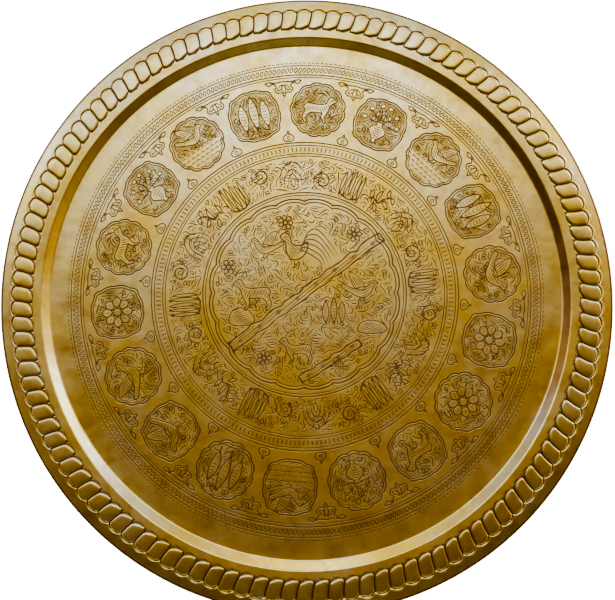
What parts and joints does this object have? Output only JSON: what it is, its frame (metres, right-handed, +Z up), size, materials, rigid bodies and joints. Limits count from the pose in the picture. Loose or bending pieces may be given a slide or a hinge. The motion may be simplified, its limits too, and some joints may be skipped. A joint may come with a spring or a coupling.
{
  "type": "round serving tray",
  "caption": "Large round brass tray: engraved flat floor, low sloping wall, plain ledge, raised gadroon band and an edge rolled round a wire.",
  "frame": {"origin": "middle of the underside of the floor, on the surface the tray rests on", "axes": "+Z up, out of the well; +Y towards the top of the engraved centre picture; +X to its right"},
  "size_m": [0.6998, 0.6998, 0.0122],
  "materials": {
    "brass": "hand-rubbed old polish with engraved lines gone dark",
    "steel_wire": "plain drawn iron wire, hidden in the rolled edge"
  },
  "bodies": {
    "root": {"tray_sheet": "brass", "rim_wire": "steel_wire"}
  },
  "joints": []
}
